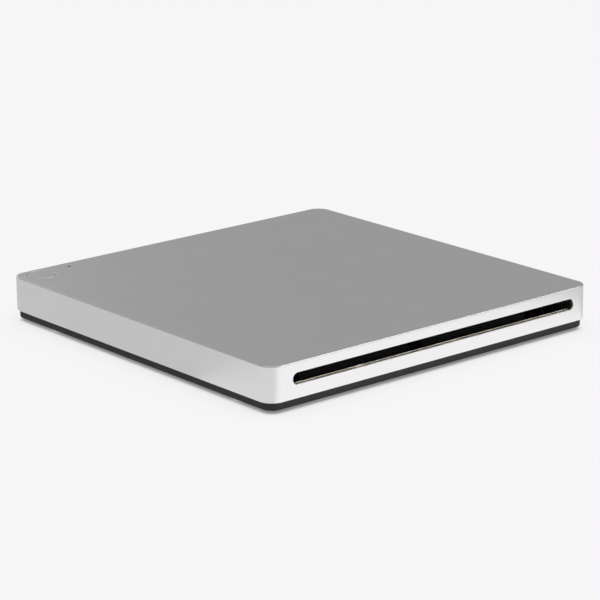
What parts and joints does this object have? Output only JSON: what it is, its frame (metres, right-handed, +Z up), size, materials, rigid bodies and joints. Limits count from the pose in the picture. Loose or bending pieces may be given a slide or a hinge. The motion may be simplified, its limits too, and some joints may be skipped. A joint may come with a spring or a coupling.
{
  "type": "external optical drive",
  "caption": "Slim square slot-loading optical disc drive: satin aluminium shell over a black base, with loading roller, lifting spindle deck and pickup inside.",
  "frame": {"origin": "on the surface the object stands on, under the middle of the square case", "axes": "+Z up; the disc slot faces -Y; +X is to the right seen from the slot side"},
  "size_m": [0.14, 0.14, 0.0157],
  "materials": {
    "shell_aluminium": "satin bead-blasted",
    "base_plastic": "fine texture, moulded black",
    "foot_rubber": "matte",
    "screw_steel": "zinc plated",
    "sheet_steel": "galvanised sheet",
    "lip_metal": "dull nickel",
    "felt": "short black pile",
    "circuit_board": "solder mask",
    "chip_package": "moulded epoxy",
    "gear_nylon": "natural nylon",
    "gear_black": "black nylon",
    "black_steel": "black plated",
    "spindle_plastic": "moulded",
    "drive_rubber": "matte",
    "rod_steel": "ground and polished",
    "light_pipe": "clear moulded",
    "lens_glass": "coated"
  },
  "bodies": {
    "enclosure": {"top_shell": "shell_aluminium", "base_tray": "base_plastic", "foot_front_left": "foot_rubber", "foot_front_right": "foot_rubber", "foot_back_left": "foot_rubber", "foot_back_right": "foot_rubber", "slot_bezel": "base_plastic", "slot_lip": "lip_metal", "slot_felt": "felt", "led_light_pipe": "light_pipe", "status_led": "light_pipe", "bridge_board": "circuit_board", "bridge_chip": "chip_package", "eject_switch": "base_plastic", "drive_connector": "base_plastic", "usb_socket": "rod_steel", "usb_tongue": "base_plastic", "drive_chassis": "sheet_steel", "drive_top_cover": "sheet_steel", "drive_board": "circuit_board", "controller_chip": "chip_package", "case_screw_1": "screw_steel", "drive_screw_1": "screw_steel", "drive_grommet_1": "drive_rubber", "case_screw_2": "screw_steel", "drive_screw_2": "screw_steel", "drive_grommet_2": "drive_rubber", "case_screw_3": "screw_steel", "drive_screw_3": "screw_steel", "drive_grommet_3": "drive_rubber", "case_screw_4": "screw_steel", "drive_screw_4": "screw_steel", "drive_grommet_4": "drive_rubber", "board_screw_1": "screw_steel", "board_screw_2": "screw_steel"},
    "eject_key": {"eject_button": "shell_aluminium"},
    "cam": {"cam_slide": "gear_nylon"},
    "deck": {"deck_frame": "sheet_steel", "guide_rod_main": "rod_steel", "guide_rod_side": "rod_steel", "sled_motor": "rod_steel", "spindle_motor": "sheet_steel"},
    "spindle": {"turntable": "spindle_plastic", "turntable_pad": "drive_rubber", "clamp_hub": "gear_nylon"},
    "screw": {"lead_screw": "rod_steel"},
    "pickup": {"pickup_sled": "base_plastic", "pickup_cover": "rod_steel"},
    "lens": {"lens_holder": "base_plastic", "objective_lens": "lens_glass"},
    "loader": {"roller_bracket": "black_steel", "loading_motor": "black_steel"},
    "roller": {"roller_shaft": "black_steel", "roller_sleeve_left": "drive_rubber", "roller_sleeve_right": "drive_rubber", "roller_gear": "gear_black"},
    "idler": {"idler_gear": "gear_black"},
    "pinion": {"motor_pinion": "gear_black"},
    "arm": {"eject_arm": "sheet_steel", "eject_arm_pad": "drive_rubber"}
  },
  "joints": [
    {"name": "eject_press", "type": "slide", "parent": "enclosure", "child": "eject_key", "axis": [0, 0, -1], "range_m": [0, 0.0005], "stiffness_N_per_m": 600},
    {"name": "cam_travel", "type": "slide", "parent": "enclosure", "child": "cam", "axis": [-0.7071, -0.7071, 0], "range_m": [0, 0.01]},
    {"name": "deck_lift", "type": "slide", "parent": "enclosure", "child": "deck", "axis": [0, 0, 1], "range_m": [0, 0.003]},
    {"name": "spindle_spin", "type": "hinge", "parent": "deck", "child": "spindle", "pos_m": [0, -0.004, 0.0055], "axis": [0, 0, 1], "continuous": true},
    {"name": "sled_travel", "type": "slide", "parent": "deck", "child": "pickup", "axis": [0.7071, 0.7071, 0], "range_m": [-0.0015, 0.034]},
    {"name": "lead_screw_spin", "type": "hinge", "parent": "deck", "child": "screw", "pos_m": [0.03571, 0.0112, 0.0043], "axis": [0.7071, 0.7071, 0], "range_deg": [-181, 4081]},
    {"name": "lens_focus", "type": "slide", "parent": "pickup", "child": "lens", "axis": [0, 0, 1], "range_m": [-0.0004, 0.0004], "stiffness_N_per_m": 80},
    {"name": "roller_lift", "type": "hinge", "parent": "enclosure", "child": "loader", "pos_m": [0, -0.047, 0.0057], "axis": [-1, 0, 0], "range_deg": [0, 8.6]},
    {"name": "roller_spin", "type": "hinge", "parent": "loader", "child": "roller", "pos_m": [0, -0.058, 0.0057], "axis": [1, 0, 0], "continuous": true},
    {"name": "idler_spin", "type": "hinge", "parent": "loader", "child": "idler", "pos_m": [0.05325, -0.05435, 0.0057], "axis": [1, 0, 0], "continuous": true},
    {"name": "pinion_spin", "type": "hinge", "parent": "loader", "child": "pinion", "pos_m": [0.05325, -0.0513, 0.0057], "axis": [1, 0, 0], "continuous": true},
    {"name": "eject_arm_swing", "type": "hinge", "parent": "enclosure", "child": "arm", "pos_m": [-0.054, 0.044, 0.007], "axis": [0, 0, -1], "range_deg": [0, 35]}
  ],
  "couplings": [
    {"joint": "deck_lift", "follows": "cam_travel", "ratio": 0.3},
    {"joint": "lead_screw_spin", "follows": "sled_travel", "rad_per_m": 2094.4},
    {"joint": "idler_spin", "follows": "roller_spin", "ratio": -1},
    {"joint": "pinion_spin", "follows": "roller_spin", "ratio": 1.5}
  ]
}
